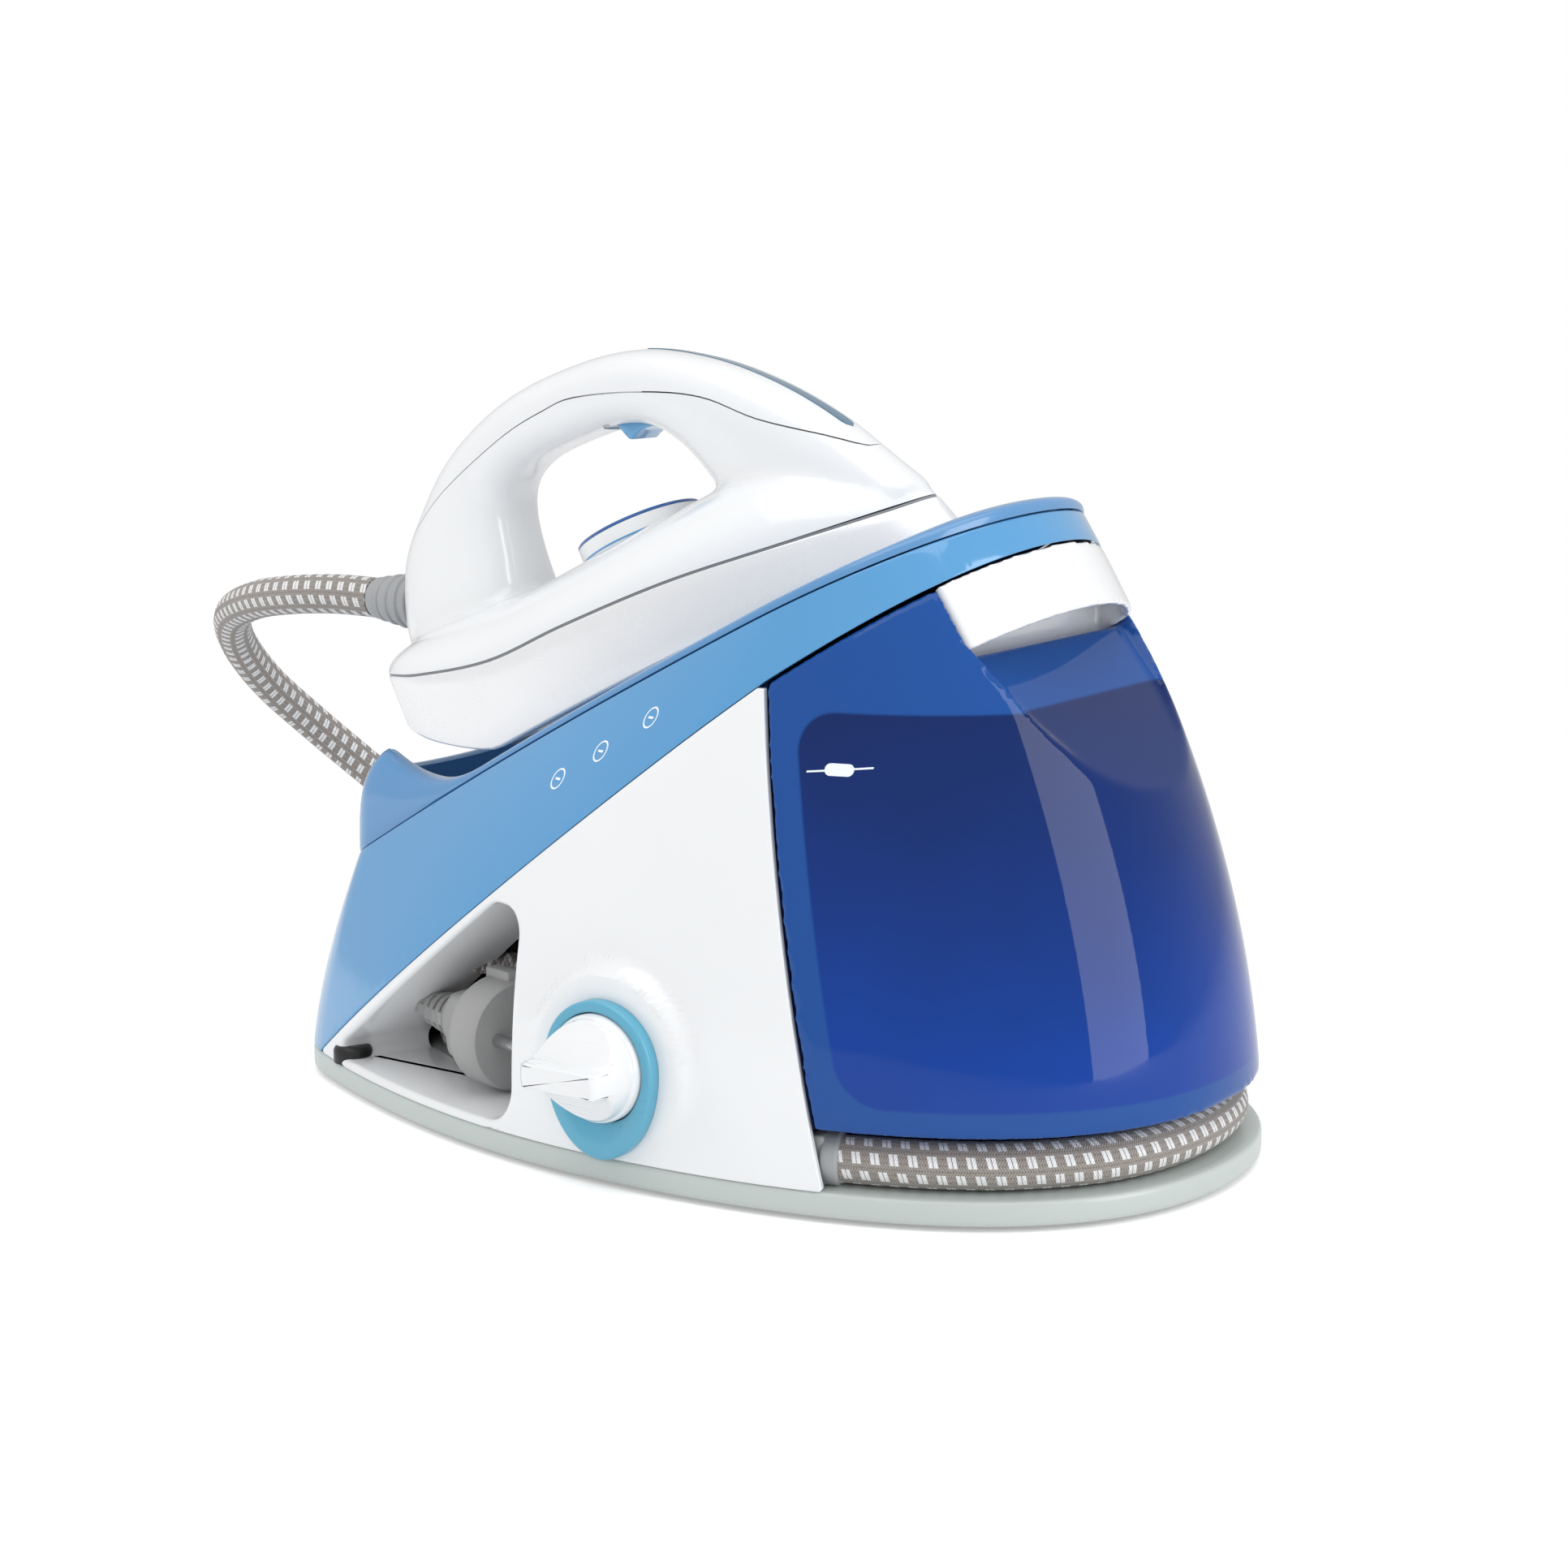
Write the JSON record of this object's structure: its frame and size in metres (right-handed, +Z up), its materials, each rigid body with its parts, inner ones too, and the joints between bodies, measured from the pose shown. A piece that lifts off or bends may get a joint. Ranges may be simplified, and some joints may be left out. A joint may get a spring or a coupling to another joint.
{
  "type": "steam generator iron",
  "caption": "Iron resting nose-up on a wedge-shaped base station with lift-out water tank, cord pocket, calc collector and hose groove",
  "frame": {"origin": "middle of the footprint of the station and its knob, on the surface that it stands on", "axes": "+X towards the tank end, +Z up, -Y the side with the cord pocket and the calc knob"},
  "size_m": [0.529, 0.4548, 0.2793],
  "materials": {
    "pale_plastic": "satin",
    "rubber_black": "matte",
    "steel_screw": "satin",
    "navy_plastic": "satin",
    "white_gloss": "gloss",
    "light_blue": "gloss",
    "deck_blue": "satin",
    "grey_plastic": "satin",
    "turquoise": "gloss",
    "boiler_steel": "satin",
    "brass_part": "satin",
    "green_board": "satin",
    "tube_white": "satin",
    "red_lamp": "gloss",
    "tank_blue": "gloss",
    "sole_metal": "satin",
    "cast_heater": "matte",
    "silver_skirt": "satin",
    "trigger_grey": "satin",
    "hose_sleeve": "woven",
    "lead_braid": "woven",
    "plug_grey": "satin",
    "trigger_blue": "gloss",
    "inlay_blue": "gloss"
  },
  "bodies": {
    "station": {"base_plate": "pale_plastic", "base_feet": "rubber_black", "base_screws": "steel_screw", "tank_platform": "navy_plastic", "tank_bulkhead": "navy_plastic", "side_panel_near": "white_gloss", "side_panel_far": "white_gloss", "upper_shell": "light_blue", "iron_deck": "deck_blue", "deck_pads": "rubber_black", "cord_pocket": "grey_plastic", "calc_ring": "turquoise", "boiler_body": "boiler_steel", "boiler_element": "cast_heater", "boiler_thermostat": "white_gloss", "safety_valve": "brass_part", "boiler_saddles": "rubber_black", "calc_port": "boiler_steel", "steam_valve": "brass_part", "water_pump": "trigger_grey", "control_board": "green_board", "feed_tube": "tube_white", "boiler_tube": "tube_white", "steam_tube": "tube_white", "tank_socket": "rubber_black", "switch_bezel": "trigger_grey", "cord_grommet": "rubber_black", "hose_gland": "grey_plastic", "steam_hose": "hose_sleeve", "mains_lead": "lead_braid", "mains_coil": "lead_braid", "mains_plug": "plug_grey", "plug_relief": "plug_grey", "plug_pins": "steel_screw"},
    "rocker": {"power_rocker": "red_lamp"},
    "tank": {"tank_shell": "tank_blue", "tank_grip": "white_gloss", "tank_valve_body": "white_gloss", "tank_valve_spring": "steel_screw", "tank_fill_plug": "rubber_black"},
    "tank_valve": {"tank_valve_stem": "steel_screw"},
    "iron": {"soleplate": "sole_metal", "iron_heater": "cast_heater", "iron_skirt": "silver_skirt", "iron_housing": "white_gloss", "handle_cover": "white_gloss", "handle_inlay": "inlay_blue", "trigger_pin": "steel_screw", "trigger_switch": "trigger_grey", "iron_thermostat": "trigger_grey", "iron_steam_tube": "tube_white", "iron_screws": "steel_screw", "hose_cuff": "grey_plastic"},
    "trigger": {"steam_trigger": "trigger_blue"},
    "dial": {"heat_dial": "white_gloss"},
    "calc_carrier": {"calc_seal": "rubber_black"},
    "calc_screw": {"calc_knob": "white_gloss", "calc_collector": "steel_screw"}
  },
  "joints": [
    {"name": "tank_slide", "type": "slide", "parent": "station", "child": "tank", "axis": [1, 0, 0], "range_m": [0, 0.18]},
    {"name": "tank_valve_push", "type": "slide", "parent": "tank", "child": "tank_valve", "axis": [1, 0, 0], "range_m": [0, 0.003], "stiffness_N_per_m": 300, "springref_m": -0.003},
    {"name": "iron_lift", "type": "slide", "parent": "station", "child": "iron", "axis": [0, 0, 1], "range_m": [0, 0.12]},
    {"name": "trigger_squeeze", "type": "hinge", "parent": "iron", "child": "trigger", "pos_m": [-0.06713, 0.013, 0.25129], "axis": [0, -1, 0], "range_deg": [0, 8], "stiffness_Nm_per_rad": 0.08, "springref_deg": -20.05},
    {"name": "dial_turn", "type": "hinge", "parent": "iron", "child": "dial", "pos_m": [-0.05922, 0.013, 0.21155], "axis": [-0.454, 0, 0.891], "range_deg": [0, 240]},
    {"name": "rocker_tip", "type": "hinge", "parent": "station", "child": "rocker", "pos_m": [-0.05128, 0.11071, 0.07315], "axis": [0.0706, -0.2751, 0.9588], "range_deg": [0, 14]},
    {"name": "calc_draw", "type": "slide", "parent": "station", "child": "calc_carrier", "axis": [0, -1, 0], "range_m": [0, 0.009]},
    {"name": "calc_turn", "type": "hinge", "parent": "calc_carrier", "child": "calc_screw", "pos_m": [0.014, -0.104, 0.043], "axis": [0, -1, 0], "range_deg": [0, 1084]}
  ],
  "couplings": [
    {"joint": "calc_turn", "follows": "calc_draw", "rad_per_m": 2094.4}
  ]
}
